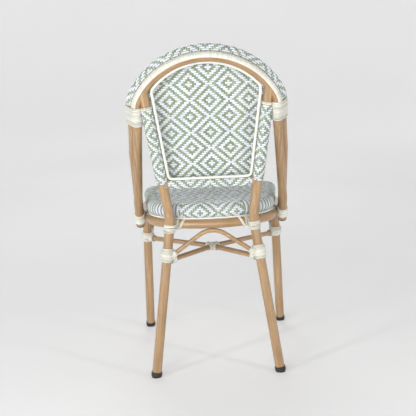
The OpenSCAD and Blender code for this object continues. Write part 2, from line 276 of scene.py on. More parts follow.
def new_material(name):
    """A material with a Principled shader and nothing else."""
    m = bpy.data.materials.new(name)
    m.use_nodes = True
    nodes, links = m.node_tree.nodes, m.node_tree.links
    nodes.clear()
    end = nodes.new("ShaderNodeOutputMaterial")
    shader = nodes.new("ShaderNodeBsdfPrincipled")
    links.new(shader.outputs[0], end.inputs[0])
    return m, nodes, links, shader


def math_node(nodes, links, kind, a, b=None):
    n = nodes.new("ShaderNodeMath")
    n.operation = kind
    for i, v in enumerate((a, b)):
        if v is None:
            continue
        if isinstance(v, (int, float)):
            n.inputs[i].default_value = v
        else:
            links.new(v, n.inputs[i])
    return n.outputs[0]


def weighted(nodes, links, terms, base=0.0):
    """The sum of each value times its weight, plus base."""
    total = base
    for value, weight in terms:
        share = math_node(nodes, links, "MULTIPLY", value, weight)
        total = math_node(nodes, links, "ADD", share, total)
    return total


def ramp(nodes, links, fac, stops):
    """Colour ramp of (position, linear colour) stops."""
    n = nodes.new("ShaderNodeValToRGB")
    e = n.color_ramp.elements
    while len(e) < len(stops):
        e.new(0.5)
    for el, (pos, col) in zip(e, stops):
        el.position = pos
        el.color = (*col, 1)
    links.new(fac, n.inputs[0])
    return n.outputs[0]


def srgb(r, g, b):
    """Linear colour of 8-bit screen values."""
    return tuple(v / 12.92 if v <= 0.04045 else ((v + 0.055) / 1.055) ** 2.4
                 for v in (r / 255, g / 255, b / 255))


def noise(nodes, links, vector, scale, detail, rough):
    n = nodes.new("ShaderNodeTexNoise")
    n.inputs["Scale"].default_value = scale
    n.inputs["Detail"].default_value = detail
    n.inputs["Roughness"].default_value = rough
    links.new(vector, n.inputs["Vector"])
    return n.outputs["Fac"]


def bump(nodes, links, shader, height, strength, distance):
    n = nodes.new("ShaderNodeBump")
    n.inputs["Strength"].default_value = strength
    n.inputs["Distance"].default_value = distance
    links.new(height, n.inputs["Height"])
    links.new(n.outputs[0], shader.inputs["Normal"])


def combine(nodes, links, parts, scales):
    """Vector of three values, each times its scale."""
    c = nodes.new("ShaderNodeCombineXYZ")
    for k, (part, scale) in enumerate(zip(parts, scales)):
        links.new(math_node(nodes, links, "MULTIPLY", part, scale), c.inputs[k])
    return c.outputs[0]


# Scale of the cane's grain across and along a tube
GRAIN_ACROSS, GRAIN_ALONG = 60.0, 3.0
# Centre of the rear hoop's arch, up the back's slope, and its radius in metres
ARCH_CENTRE = BACK_ORIGIN + UP_SLOPE * 166
ARCH_RADIUS = 0.194


def grain_vector(nodes, links, kind):
    """Coordinates that change fast across a tube and slowly along it."""
    where = nodes.new("ShaderNodeTexCoord").outputs["Object"]

    def calc(op, a, b=None):
        return math_node(nodes, links, op, a, b)
    split = nodes.new("ShaderNodeSeparateXYZ")
    links.new(where, split.inputs[0])
    x, y, z = split.outputs
    x = calc("ABSOLUTE", x)
    if kind == "level":
        return combine(nodes, links, (x, y, z), (GRAIN_ALONG, GRAIN_ALONG, GRAIN_ACROSS))
    if kind == "cross":
        return combine(nodes, links, (x, y, z), (GRAIN_ALONG, GRAIN_ACROSS, GRAIN_ACROSS))
    if kind in LEG_LEAN:
        knee, lean_x, lean_y = LEG_LEAN[kind]
        low = calc("MINIMUM", z, knee)
        high = calc("MAXIMUM", calc("SUBTRACT", z, knee), 0.0)
        x, y = (calc("ADD", v, weighted(nodes, links, zip((low, high), lean)))
                for v, lean in ((x, lean_x), (y, lean_y)))
        return combine(nodes, links, (x, y, z), (GRAIN_ACROSS, GRAIN_ACROSS, GRAIN_ALONG))
    shift = nodes.new("ShaderNodeVectorMath")
    shift.operation = "SUBTRACT"
    shift.inputs[1].default_value = ARCH_CENTRE / 1000
    links.new(where, shift.inputs[0])

    def part(axis):
        d = nodes.new("ShaderNodeVectorMath")
        d.operation = "DOT_PRODUCT"
        d.inputs[1].default_value = axis
        links.new(shift.outputs[0], d.inputs[0])
        return d.outputs["Value"]
    # Round the arch, and below its centre along the sides, which lean 20 degrees more
    s, n = part(UP_SLOPE), part(FORWARD)
    high, low = calc("MAXIMUM", s, 0.0), calc("MINIMUM", s, 0.0)
    turn = calc("ARCTAN2", high, x)
    along = weighted(nodes, links, ((turn, ARCH_RADIUS), (low, 0.94), (n, -0.34)))
    across = weighted(nodes, links, ((n, 1.0), (low, 0.36)))
    radius = calc("SQRT", calc("ADD", calc("MULTIPLY", x, x), calc("MULTIPLY", high, high)))
    return combine(nodes, links, (radius, across, along),
                   (GRAIN_ACROSS, GRAIN_ACROSS, GRAIN_ALONG))


# For each kind of leg, its knee's height in metres, then how far its axis drifts in x below and
# above the knee, and in y below and above it, per metre of height
LEG_LEAN = {"rear_leg": (0.44, (0.139, -0.14), (0.04, -0.21)),
            "front_leg": (0.44, (0.038, 0.038), (-0.253, -0.253))}


def cane(name, kind):
    """Painted tube with the streaked look of peeled cane."""
    m, nodes, links, shader = new_material(name)
    v = grain_vector(nodes, links, kind)
    where = nodes.new("ShaderNodeTexCoord").outputs["Object"]
    streak = noise(nodes, links, v, 4.0, 4.0, 0.6)
    patch = noise(nodes, links, where, 9.0, 2.0, 0.5)
    mixed = weighted(nodes, links, ((streak, 0.8), (patch, 0.2)))
    colour = ramp(nodes, links, mixed, [
        (0.33, srgb(138, 106, 71)), (0.45, srgb(156, 124, 87)),
        (0.56, srgb(166, 134, 96)), (0.68, srgb(184, 153, 115))])
    links.new(colour, shader.inputs["Base Color"])
    fine = noise(nodes, links, v, 14.0, 3.0, 0.6)
    links.new(weighted(nodes, links, ((fine, 0.22),), 0.26), shader.inputs["Roughness"])
    shader.inputs["Specular IOR Level"].default_value = 0.5
    shader.inputs["Coat Weight"].default_value = 0.6
    shader.inputs["Coat Roughness"].default_value = 0.1
    bump(nodes, links, shader, fine, 0.25, 0.0006)
    return m


def strand(name, low, high, roughness, coat=0.0):
    """Extruded plastic strand: a tone for each strand, fine lines and faint mottling."""
    m, nodes, links, shader = new_material(name)
    where = nodes.new("ShaderNodeTexCoord").outputs["Object"]
    tone = nodes.new("ShaderNodeAttribute")
    tone.attribute_name = "tone"
    fine = noise(nodes, links, where, 420.0, 2.0, 0.6)
    broad = noise(nodes, links, where, 26.0, 2.0, 0.5)
    mixed = weighted(nodes, links, ((tone.outputs["Fac"], 0.45), (fine, 0.25), (broad, 0.30)))
    colour = ramp(nodes, links, mixed, [(0.15, low), (0.85, high)])
    links.new(colour, shader.inputs["Base Color"])
    links.new(weighted(nodes, links, ((fine, 0.2),), roughness - 0.1), shader.inputs["Roughness"])
    shader.inputs["Coat Weight"].default_value = coat
    bump(nodes, links, shader, fine, 0.35, 0.0004)
    return m


def rubber_material():
    """Black rubber with a fine grain and faint patches."""
    m, nodes, links, shader = new_material("rubber_black")
    where = nodes.new("ShaderNodeTexCoord").outputs["Object"]
    fine = noise(nodes, links, where, 300.0, 3.0, 0.6)
    broad = noise(nodes, links, where, 40.0, 2.0, 0.5)
    colour = ramp(nodes, links, broad, [(0.3, srgb(24, 24, 25)), (0.7, srgb(44, 43, 42))])
    links.new(colour, shader.inputs["Base Color"])
    links.new(weighted(nodes, links, ((fine, 0.25),), 0.42), shader.inputs["Roughness"])
    bump(nodes, links, shader, fine, 0.3, 0.0005)
    return m


WHITE = strand("strand_white", srgb(204, 209, 219), srgb(236, 239, 247), 0.42, 0.1)
GREEN = strand("strand_sage", srgb(122, 136, 110), srgb(154, 167, 141), 0.46, 0.1)
CREAM = strand("strand_cream", srgb(184, 184, 172), srgb(234, 232, 222), 0.50)
BAND = strand("strand_cream_band", srgb(216, 214, 202), srgb(240, 238, 228), 0.50)
# Dark sage-grey of the sheet behind the weave: painted shade for the gaps between strands, not a
# strand's own colour
SHADE = strand("painted_shade_underlayer", srgb(70, 78, 70), srgb(104, 112, 102), 0.7)
CANE = {k: cane("cane_" + k, k) for k in ("level", "cross", "rear_leg", "front_leg", "hoop")}
RUBBER = rubber_material()


# ---- Weave ----

def motif(i, j, centre, swap=False):
    """Is the upright strand on top at cell i, j? Nested diamonds, 18 cells wide and 16 high."""
    def off(a, period):
        return np.abs((a + period // 2) % period - period // 2)
    a, b = np.asarray(i) - centre[0], np.asarray(j) - centre[1]
    m = np.minimum(off(a, 18) + off(b, 16), off(a + 9, 18) + off(b + 8, 16))
    on = (m // 2) % 2 == 1
    return ~on if swap else on


def heights(on, amp):
    """Height at each cell's middle and at each border: borders take the mean of their cells."""
    h = np.where(on, amp, -amp).astype(float)
    mid = np.concatenate([[0], (h[1:] + h[:-1]) / 2, [0]])
    return h, mid


def flat_weave(strands, place, outline, pitch, origin, top, amp, width, thick, kinds):
    """Woven sheet in a plane. place(a, b, h) gives points, top(i, j) says which strand is up."""
    outline = np.asarray(outline, float)

    def spans(axis, value):
        other = 1 - axis
        p, q = outline, np.roll(outline, -1, 0)
        hit = (p[:, axis] > value) != (q[:, axis] > value)
        t = (value - p[hit, axis]) / (q[hit, axis] - p[hit, axis])
        cuts = np.sort(p[hit, other] + t * (q[hit, other] - p[hit, other]))
        return list(zip(cuts[::2], cuts[1::2]))

    for axis in (0, 1):
        other = 1 - axis
        low, high = outline[:, axis].min(), outline[:, axis].max()
        first = math.ceil((low - origin[axis]) / pitch[axis])
        last = math.floor((high - origin[axis]) / pitch[axis])
        for k in range(first, last + 1):
            at = origin[axis] + k * pitch[axis]
            for a, b in spans(axis, at):
                if b - a < pitch[other]:
                    continue
                i0 = math.floor((a - origin[other]) / pitch[other] + 0.5)
                i1 = math.ceil((b - origin[other]) / pitch[other] - 0.5)
                cells = np.arange(i0, i1 + 1)
                on = top(k, cells) if axis == 0 else ~top(cells, k)
                h, mid = heights(on, amp)
                s = np.empty(2 * len(cells) + 1)
                z = np.empty_like(s)
                s[1::2] = origin[other] + cells * pitch[other]
                s[::2] = origin[other] + (np.append(cells, cells[-1] + 1) - 0.5) * pitch[other]
                z[1::2], z[::2] = h, mid
                keep = (s > a) & (s < b)
                s = np.concatenate([[a], s[keep], [b]])
                z = np.concatenate([[0], z[keep], [0]])
                fixed = np.full_like(s, at)
                u, v = (fixed, s) if axis == 0 else (s, fixed)
                line = place(u, v, z)
                side = place(u + (axis == 0), v + (axis == 1), z) - line
                out = place(u, v, z + 1) - line
                strands.sweep(line, unit(side), unit(out), oval(width[axis], thick),
                              kind=kinds[axis])


def skin_steps(on, amp, closed):
    """Steps along a strand, two for each cell, and its height at each of them."""
    h = np.where(on, amp, -amp).astype(float)
    if closed:
        return np.arange(2 * len(h)) / 2, np.stack([(h + np.roll(h, 1)) / 2, h], 1).ravel()
    z = np.empty(2 * len(h) + 1)
    z[1::2], z[::2] = h, np.concatenate([[-amp], (h[1:] + h[:-1]) / 2, [-amp]])
    return np.arange(len(z)) / 2, z


def wrap_weave(strands, place, nu, nv, top, amp, width, thick, kinds, closed_u=False,
               closed_v=False, stripes=None):
    """Woven skin over a curved surface. Strands around run along v, strands along run along u.

    Where stripes(i) holds, no strand runs along: those around lie bare, white and green in turn.
    """
    bare = np.array([stripes is not None and stripes(i) for i in range(nu)], bool)
    for i in range(nu):
        on = np.ones(nv, bool) if bare[i] else top(i, np.arange(nv))
        v, z = skin_steps(on, amp, closed_v)
        u = np.full_like(v, i + 0.5)
        side = place(u + 0.02, v, z) - place(u - 0.02, v, z)
        line = place(u, v, z)
        out = place(u, v, z + 1) - line
        section = oval(width[0] * (0.8 if bare[i] else 1), thick)
        kind = kinds[1] if bare[i] and i % 2 == 0 else kinds[0]
        strands.sweep(line, unit(side), unit(out), section, closed_v, kind)
    for k in range(nv):
        u, z = skin_steps(~top(np.arange(nu), k) & ~bare, amp, closed_u)
        v = np.full_like(u, k + 0.5)
        side = place(u, v + 0.02, z) - place(u, v - 0.02, z)
        line = place(u, v, z)
        out = place(u, v, z + 1) - line
        strands.sweep(line, unit(side), unit(out), oval(width[1], thick), closed_u, kinds[1])


def shade_sheet(name, place, outline, steps=1):
    """Dark sheet in a weave's middle plane, painted shade seen through the gaps between the
    strands, in steps rings from its outline to its middle.
    """
    outline = np.asarray(outline, float)
    count = len(outline)
    middle = (outline.min(0) + outline.max(0)) / 2
    spots = np.concatenate([middle + (outline - middle) * (1 - k / steps) for k in range(steps)])
    faces = [(k * count + i, k * count + (i + 1) % count, (k + 1) * count + (i + 1) % count,
              (k + 1) * count + i) for k in range(steps - 1) for i in range(count)]
    faces.append(tuple(range((steps - 1) * count, steps * count)))
    mesh = bpy.data.meshes.new(name)
    p = place(spots[:, 0], spots[:, 1], np.zeros(len(spots))) / 1000
    mesh.from_pydata(p.tolist(), [], faces)
    mesh.materials.append(SHADE)
    piece = add_object(name, mesh)
    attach(piece, "root")
    x, y = outline[:, 0], outline[:, 1]
    area = abs(float((x * np.roll(y, -1) - np.roll(x, -1) * y).sum())) / 2e6


# Size of a cell across and up the back, and the plane of the panel
PITCH_X, PITCH_T = 5.52, 5.3
SHEET_LEAN = math.radians(13.3)
SHEET_UP = arr(0, math.sin(SHEET_LEAN), math.cos(SHEET_LEAN))
SHEET_OUT = arr(0, -math.cos(SHEET_LEAN), math.sin(SHEET_LEAN))
SHEET_BASE_Z = 527
SHEET_ORIGIN = arr(0, 167, SHEET_BASE_Z)
PANEL_CENTRE = (-7.0, 218.0)


def panel_at(a, b, h):
    """A point of the back panel: a across, b up, h out of its front."""
    a, b, h = (np.atleast_1d(v)[:, None] for v in (a, b, h))
    return SHEET_ORIGIN + X * a + SHEET_UP * b + SHEET_OUT * h


def panel_top(i, j):
    return motif(i, j, (0, 0), swap=True)


def back_panel():
    turn = np.radians(np.linspace(24.3, 155.7, 60))
    arch = [(195 * math.cos(a), 141.2 + 195 * math.sin(a)) for a in turn]
    outline = [(-122, -2), (122, -2), (150, 205), (177, 206), *arch, (-177, 206), (-150, 205)]
    s = Strands()
    flat_weave(s, panel_at, outline, (PITCH_X, PITCH_T), PANEL_CENTRE, panel_top, amp=0.8,
               width=(5.1, 4.9), thick=1.8, kinds=(1, 0))
    # Dark sheet behind the back's strands: painted shade in the gaps
    shade_sheet("back_panel_shade_sheet", panel_at, outline)
    make_piece("back_panel_strands", s, [WHITE, GREEN], ["back_weave"])


def tube_skin(a, b, radius, start, cells):
    """place() for a skin on a straight tube from a to b; start is the direction of v = 0."""
    axis = unit(b - a)
    e = unit(start - axis * (start @ axis))
    f = np.cross(axis, e)

    def place(u, v, h, along):
        t = v / cells * 2 * math.pi
        way = np.cos(t)[:, None] * e + np.sin(t)[:, None] * f
        return a + axis * (u * along)[:, None] + (radius + h)[:, None] * way
    return place


def back_sleeves():
    """Weave wrapped round the two uprights and the crossbar, in step with the panel."""
    for side, word in ((1, "left"), (-1, "right")):
        low, high = upright(528), upright(724)
        if side < 0:
            low, high = flip(low), flip(high)
        rise = PITCH_T * math.cos(SHEET_LEAN) / unit(high - low)[2]
        rows = int(np.linalg.norm(high - low) / rise)
        inward = arr(-side * math.sin(math.radians(23)), math.cos(math.radians(23)), 0)
        skin = tube_skin(low, high, LEG_R + 1.3, inward, 18)
        rise_z = (low[2] - SHEET_BASE_Z) / math.cos(SHEET_LEAN)
        first = round((rise_z - PANEL_CENTRE[1]) / PITCH_T)

        def place(u, v, h):
            return skin(v, u, h, rise)

        def top(i, j):
            return motif(i, j + first, (0, 0))
        s = Strands()
        wrap_weave(s, place, 18, rows, top, amp=0.7, width=(4.2, 4.6), thick=1.4,
                   kinds=(1, 0), closed_u=True)
        make_piece("upright_sleeve_" + word, s, [WHITE, GREEN])

    half = 121.0
    a, b = arr(-half, BAR_Y, BAR_Z), arr(half, BAR_Y, BAR_Z)
    skin = tube_skin(a, b, BAR_R + 1.3, arr(0, -0.3, 1), 14)
    count = int(2 * half / PITCH_X)
    first = round((-half - PANEL_CENTRE[0]) / PITCH_X)

    def place(u, v, h):
        return skin(u, -v, h, 2 * half / count)

    def top(i, j):
        return motif(i + first, -41 - j, (0, 0))
    s = Strands()
    wrap_weave(s, place, count, 14, top, amp=0.7, width=(4.8, 4.4), thick=1.4, kinds=(1, 0),
               closed_v=True)
    make_piece("crossbar_sleeve", s, [WHITE, GREEN])


def arch_line(corners, radii):
    """Centre line of a hoop's arch above COVER_FROM, with its directions along and outward."""
    line = rounded(corners, radii, step=1.0)
    line = line[(line - BACK_ORIGIN) @ UP_SLOPE > COVER_FROM]
    t = tangents(line)
    out = unit(np.cross(t, FORWARD))
    if out[len(out) // 2] @ UP_SLOPE < 0:
        out = -out
    return line, t, out


def follow(line, u):
    """Position on a line of points at share u of its length, for arrays."""
    k = np.clip(u, 0, 1) * (len(line) - 1)
    i = np.minimum(k.astype(int), len(line) - 2)
    f = (k - i)[:, None]
    return line[i] * (1 - f) + line[i + 1] * f


def front_arch_weave():
    """Weave wrapped round the front hoop's arch, pressed flat where the rear hoop touches it."""
    line, _, out = arch_line(HOOP_FRONT, HOOP_FRONT_BENDS)
    nu, nv = int(length_of(line) / PITCH_X), 16
    toward = unit(arr(-13, -21))

    def place(u, v, h):
        c, o = follow(line, u / nu), unit(follow(out, u / nu))
        a = v / nv * 2 * math.pi
        x, n = np.cos(a), np.sin(a)
        near = np.clip((x * toward[0] + n * toward[1] - 0.55) / 0.45, 0, 1)
        r = (HOOP_R + 1.3 + h - near * 1.6 * (h > -0.5))[:, None]
        return c + r * (x[:, None] * o + n[:, None] * FORWARD)

    def top(i, j):
        return motif(i, j, (nu // 2, 0))
    s = Strands()
    wrap_weave(s, place, nu, nv, top, amp=0.6, width=(4.7, 4.5), thick=1.3, kinds=(1, 0),
               closed_v=True)
    make_piece("front_arch_sleeve", s, [WHITE, GREEN])


def binding_band():
    """Cream strand bound side by side over the rear hoop's outer face."""
    line, t, out = arch_line(HOOP_REAR, HOOP_REAR_BENDS)
    count = int(length_of(line) / 2.7)
    s = Strands()
    for k in range(count):
        u = np.full(11, (k + 0.5) / count)
        c, o, way = follow(line, u), unit(follow(out, u)), unit(follow(t, u))
        a = np.radians(np.linspace(-84, 6, 11))
        r = HOOP_R + 0.9 + rng.uniform(-0.06, 0.06)
        face = np.cos(a)[:, None] * o + np.sin(a)[:, None] * FORWARD
        s.sweep(c + face * r, way, face, oval(2.68, 1.3))
    make_piece("back_binding", s, [BAND], ["back_binding_band"])


# ---- Piping ----

def piping(name, line, radius, replaces, lay):
    """Closed cord covered in a wound strand, which shows as fine slanting ridges, lay apart."""
    t = tangents(line, True)
    ref = Z if abs(t[:, 2]).mean() < 0.8 else Y
    out = unit(np.cross(np.cross(t, ref), t))
    across = np.cross(t, out)
    n, sides = len(line), 14
    turns = round((length_of(line) + np.linalg.norm(line[0] - line[-1])) / lay)
    a = np.arange(sides) * 2 * math.pi / sides
    phase = math.pi * turns * (np.arange(n) / n)[:, None] + a[None] / 2
    r = radius - 0.35 + 0.45 * np.abs(np.sin(phase))
    ring = (across[:, None] * np.cos(a)[None, :, None] + out[:, None] * np.sin(a)[None, :, None])
    s = Strands()
    s.points = [(line[:, None] + ring * r[..., None]).reshape(-1, 3)]
    i, j = np.arange(n)[:, None], np.arange(sides)[None]
    i2, j2 = (i + 1) % n, (j + 1) % sides
    quads = np.stack([i * sides + j, i2 * sides + j, i2 * sides + j2, i * sides + j2], -1)
    s.faces = [tuple(q) for q in quads.reshape(-1, 4).tolist()]
    s.kinds = [0] * len(s.faces)
    s.tones = [np.repeat(rng.uniform(0.85, 1.0, n), sides)]
    make_piece(name, s, [CREAM], replaces)


def back_piping():
    low, high = arr(106, 191, 538), back(136, 281, -8.5)
    corners = [low, high, back(0, 442.5, 22.5), flip(high), flip(low)]
    line = rounded(corners, [12, 20, 175, 20, 12], closed=True, step=0.8)[:-1]
    piping("back_piping_cord", line, 3.6, ["back_piping"], lay=2.6)


# ---- Seat ----

ROLL_PLAN = inset(RING, ROLL_INSET)
ROLL_BENDS = [r - ROLL_INSET for r in RING_BENDS]


def plan_loop(corners, radii, step):
    """Closed plan line with its outward direction, walked from the rear centre towards +X."""
    line = rounded(corners, radii, closed=True, step=step)[:-1]
    start = np.argmin(np.abs(line[:, 0]) + np.where(line[:, 1] > 0, 0, 1e3))
    line = np.roll(line, -start, 0)
    if line[8, 0] < line[0, 0]:
        line = np.roll(line[::-1], 1, 0)
    t = tangents(line, True)
    out = np.stack([-t[:, 1], t[:, 0]], 1)
    if out[0, 1] < 0:
        out = -out
    return line, out


def seat_roll():
    """Weave round the seat's edge, with bare stripes where the plan bends sharply."""
    line, out = plan_loop(ROLL_PLAN, ROLL_BENDS, 1.0)
    n = len(line)
    nu, nv = 234, 17
    loop, way = np.vstack([line, line[:1]]), np.vstack([out, out[:1]])

    def place(u, v, h):
        share = (u / nu) % 1
        c, o = follow(loop, share), unit(follow(way, share))
        a = np.radians(-82 + v / nv * 272)
        r = ROLL_R - 1.3 + h
        p = np.empty((len(c), 3))
        p[:, :2] = c + o * (r * np.cos(a))[:, None]
        p[:, 2] = ROLL_Z + r * np.sin(a)
        return p

    def stripes(i):
        p = line[int((i + 0.5) / nu * n) % n]
        rear = p[1] > 20 and abs(p[0]) > 80
        front = p[1] < -140 and abs(p[0]) > 150
        return rear or front

    def top(i, j):
        return motif(i, j, (5, 4), swap=True)
    s = Strands()
    wrap_weave(s, place, nu, nv, top, amp=0.7, width=(4.8, 4.9), thick=1.5, kinds=(1, 0),
               closed_u=True, stripes=stripes)
    make_piece("seat_roll_strands", s, [WHITE, GREEN], ["seat_weave", "seat_core_tube"])


def seat_top():
    """Weave of the seat's top, which dips a little and is faintly uneven."""
    in_by = ROLL_INSET + 9
    line = rounded(inset(RING, in_by), [max(r - in_by, 12) for r in RING_BENDS], closed=True,
                   step=4)[:-1]
    level, dip, unevenness = 458.2, 2.2, 0.55

    def place(a, b, h):
        a, b, h = (np.atleast_1d(v) for v in (a, b, h))
        inside = np.clip(1 - (a / 175) ** 2, 0, 1) * np.clip(1 - ((b + 15) / 170) ** 2, 0, 1)
        slack = np.sin(b / 6.5 + 1.3 * np.sin(a / 37)) + 0.7 * np.sin(b / 3.9 - a / 29)
        return np.stack([a, b, level + inside * (unevenness * slack - dip) + h], 1)

    def top(i, j):
        return motif(i, j, (0, 0), swap=True)
    s = Strands()
    flat_weave(s, place, line, (5.34, 5.3), (26.7, -16.0), top, amp=0.9, width=(4.6, 4.6),
               thick=1.5, kinds=(1, 0))
    # Dark sheet under the seat's strands: painted shade in the gaps
    shade_sheet("seat_top_shade_sheet", place, line, steps=30)
    make_piece("seat_top_strands", s, [WHITE, GREEN])


def seat_piping():
    line, _ = plan_loop(RING, RING_BENDS, 0.7)
    p = np.column_stack([line, np.full(len(line), RING_Z + 15.0)])
    piping("seat_piping_cord", p, 2.4, ["seat_piping"], lay=2.2)


# ---- Lashings ----

def loops(strands, a, b, low, high, reach, d, reach_b=None):
    """Strands laid side by side, each a closed loop round two tubes; a(t), b(t) are their axes."""
    count = int(round(float(np.linalg.norm(a(1) - a(0))) / (d * 1.02)))
    for k in range(count):
        t = low + (high - low) * (k + 0.5) / count
        p, q = a(t), b(t)
        axis = unit(a(min(t + 0.05, 1)) - a(max(t - 0.05, 0)))
        gap = q - p
        gap -= axis * (gap @ axis)
        e = unit(gap)
        f = np.cross(axis, e)
        extra = d * 0.42 + rng.uniform(-0.15, 0.15)
        r, r_b = reach + extra, (reach if reach_b is None else reach_b) + extra
        turn = np.radians(np.linspace(-90, 90, 15))
        far = q + r_b * (np.cos(turn)[:, None] * e + np.sin(turn)[:, None] * f)
        near = p - r * (np.cos(turn)[:, None] * e + np.sin(turn)[:, None] * f)
        line = spaced(np.vstack([far, near, far[:1]]), 1.6)[:-1]
        way = tangents(line, True)
        out = unit(np.cross(way, axis))
        if (line[0] - (p + q) / 2) @ out[0] < 0:
            out = -out
        strands.sweep(line, np.tile(axis, (len(line), 1)), out, oval(d, d * 0.8), closed=True)


def rings(strands, low, high, reach, d=3.2, tilt=3.0):
    """Turns of strand laid side by side round one tube, each at its own slight tilt."""
    axis = unit(high - low)
    e, f = square_to(axis)
    long = float(np.linalg.norm(high - low))
    count = max(1, int(round(long / (d * 1.02))))
    steps = 30
    turn = np.arange(steps) * 2 * math.pi / steps
    out = np.cos(turn)[:, None] * e + np.sin(turn)[:, None] * f
    for k in range(count):
        centre = low + axis * (long * (k + 0.5) / count)
        r = reach + d * 0.42 + rng.uniform(-0.2, 0.2)
        slope = math.tan(math.radians(rng.uniform(-tilt, tilt)))
        rise = r * slope * np.sin(turn + rng.uniform(0, 6))
        line = centre + out * r + axis * rise[:, None]
        strands.sweep(line, np.tile(axis, (steps, 1)), out, oval(d, d * 0.8), closed=True)


def both(build, name, replaces):
    """Builds a lashing on the left and its mirror on the right: build(strands, mirror)."""
    for side, word in ((1, "left"), (-1, "right")):
        s = Strands()
        build(s, (lambda p: p) if side > 0 else flip)
        make_piece(f"{name}_{word}", s, [CREAM], [f"{replaces}_{word}"])


def on_ring(x, angle, lift=1.6):
    """A point on the ring's surface near the rear leg, angle up from its outer side."""
    bend = RING_BENDS[0]
    half_turn = math.radians(15.3)      # half the angle of the ring's first bend
    middle = RING[0][0] - bend * math.tan(half_turn)
    out = arr((x - middle) / bend, math.sqrt(1 - ((x - middle) / bend) ** 2), 0)
    centre = arr(middle, RING[0][1] - bend, RING_Z)
    return centre + out * bend + (RING_R + lift) * (math.cos(angle) * out + math.sin(angle) * Z)


def strap(s, m, points, d):
    """A strand pulled tight over the given points."""
    line = rounded(points, [0] + [4] * (len(points) - 2) + [0], step=1.2)
    s.cord(np.array([m(q) for q in line]), d / 2)


def rear_lashing(s, m):
    """Binds the rear leg to the seat ring, with tight strands fanning out along the ring."""
    rings(s, m(rear_leg(393)), m(rear_leg(415)), LEG_R, tilt=7)
    rings(s, m(on_ring(104, 0, -RING_R)), m(on_ring(91, 0, -RING_R)), RING_R, d=2.8, tilt=9)
    rings(s, m(on_ring(92, 0, -RING_R)), m(on_ring(84, 0, -RING_R)), RING_R, d=2.8, tilt=9)
    start = rear_leg(404) + arr(4 - LEG_R, 12, 0)
    for shift, d in ((0.0, 3.0), (3.4, 2.8)):
        strap(s, m, [start + arr(0, 0, -4 + shift), on_ring(91 - shift, -1.0, 3.2),
                     on_ring(82 - shift, -0.5), on_ring(75 - shift, 0.7),
                     on_ring(73 - shift, 1.5)], d)
    strap(s, m, [start + arr(0, 0, 6), on_ring(93, 0.4, 3.6), on_ring(87, 1.0),
                 on_ring(84, 1.7)], 2.8)
    strap(s, m, [start + arr(0, 0, 4), on_ring(94, 0.0, 3.8), on_ring(88, -0.6),
                 on_ring(85, -1.4)], 2.8)


def fan(s, m, leg, upper, lower, top, bottom):
    """Loops from a leg, between two heights, to the arch at upper and the stretcher at lower."""
    loops(s, lambda t: m(leg(top + (bottom - top) * t)), lambda t: m(upper + (lower - upper) * t),
          0.08, 0.92, LEG_R + 1.6, 3.6, STRETCHER_R + 0.5)


def rear_low_lashing(s, m):
    """Binds the rear leg to the arch and the stretcher that meet it."""
    p = rear_leg(321)
    a, b = unit(arr(0, 165.5, 406) - p), unit(STRETCH_MID - STRETCH_REAR)
    rings(s, m(rear_leg(315)), m(rear_leg(351)), LEG_R)
    rings(s, m(p + a * 16), m(p + a * 32), ARCH_R + 1)
    rings(s, m(STRETCH_REAR + b * 16), m(STRETCH_REAR + b * 32), STRETCHER_R + 1)
    fan(s, m, rear_leg, p + a * 21, STRETCH_REAR + b * 21, 347, 321)


def front_low_lashing(s, m):
    """Binds the front leg to the arch and the stretcher that meet it."""
    p, q = front_leg(313), front_leg(304)
    a, b = unit(arr(146, -190, 392.8) - p), unit(STRETCH_MID - q)
    rings(s, m(front_leg(296)), m(front_leg(324)), LEG_R)
    rings(s, m(p + a * 12), m(p + a * 24), ARCH_R + 1)
    rings(s, m(q + b * 14), m(q + b * 32), STRETCHER_R + 1)
    fan(s, m, front_leg, p + a * 15, q + b * 21, 320, 302)


def hoop_end_lashing(s, m):
    """Binds the lower ends of the two hoops together and ties them to the seat ring."""
    a, b = (between(HOOP_REAR[0], HOOP_REAR[1], z) for z in (397, 422))
    c, d = (between(HOOP_FRONT[0], HOOP_FRONT[1], z) for z in (397, 422))
    loops(s, lambda t: m(a + (b - a) * t), lambda t: m(c + (d - c) * t), 0, 1, HOOP_R, 3.2)
    p, q = arr(174.8, 10, RING_Z), arr(173.8, 20, RING_Z)
    rings(s, m(p), m(q), RING_R)
    mid = (a + b + c + d) / 4
    for k in (-3.0, 0.0, 3.0):
        start = mid + arr(-13, 4 + k, 2)
        end = (p + q) / 2 + arr(11, k * 0.8, 3)
        line = np.array([start, (start + end) / 2 + arr(0, 0, 0.6), end])
        s.cord(spaced(line, 1.5), 1.4)


def shoulder_lashing(s, m):
    """Binds the two hoops together below their arches."""
    rear = rounded(HOOP_REAR, HOOP_REAR_BENDS, step=1.0)
    front = rounded(HOOP_FRONT, HOOP_FRONT_BENDS, step=1.0)

    def at(line, level):
        h = (line - BACK_ORIGIN) @ UP_SLOPE
        good = line[:, 0] > 0
        return line[good][np.argmin(np.abs(h[good] - level))]
    loops(s, lambda t: m(at(rear, 190 + 48 * t)), lambda t: m(at(front, 190 + 48 * t)),
          0, 1, HOOP_R, 3.8)


def upright_tie(s, m):
    """Closes the upper end of an upright's sleeve."""
    rings(s, m(upright(724.5)), m(upright(731)), LEG_R, d=3.2, tilt=2)


def centre_lashing():
    """Binds the stretchers where they cross."""
    s = Strands()
    d = unit(STRETCH_REAR - STRETCH_MID)
    e = unit(STRETCH_FRONT - STRETCH_MID)
    for way in (d, flip(d), e, flip(e)):
        way = unit(arr(way[0], way[1], 0))
        rings(s, STRETCH_MID + way * 8, STRETCH_MID + way * 20, STRETCHER_R + 0.6, tilt=8)
    for lean in (unit(d + flip(d)), unit(d - flip(d))):
        lean = unit(arr(lean[0], lean[1], 0))
        rings(s, STRETCH_MID - lean * 6, STRETCH_MID + lean * 6, STRETCHER_R + 1.4, tilt=12)
    make_piece("centre_lashing", s, [CREAM], ["centre_wrap"])


# ---- Weld beads ----

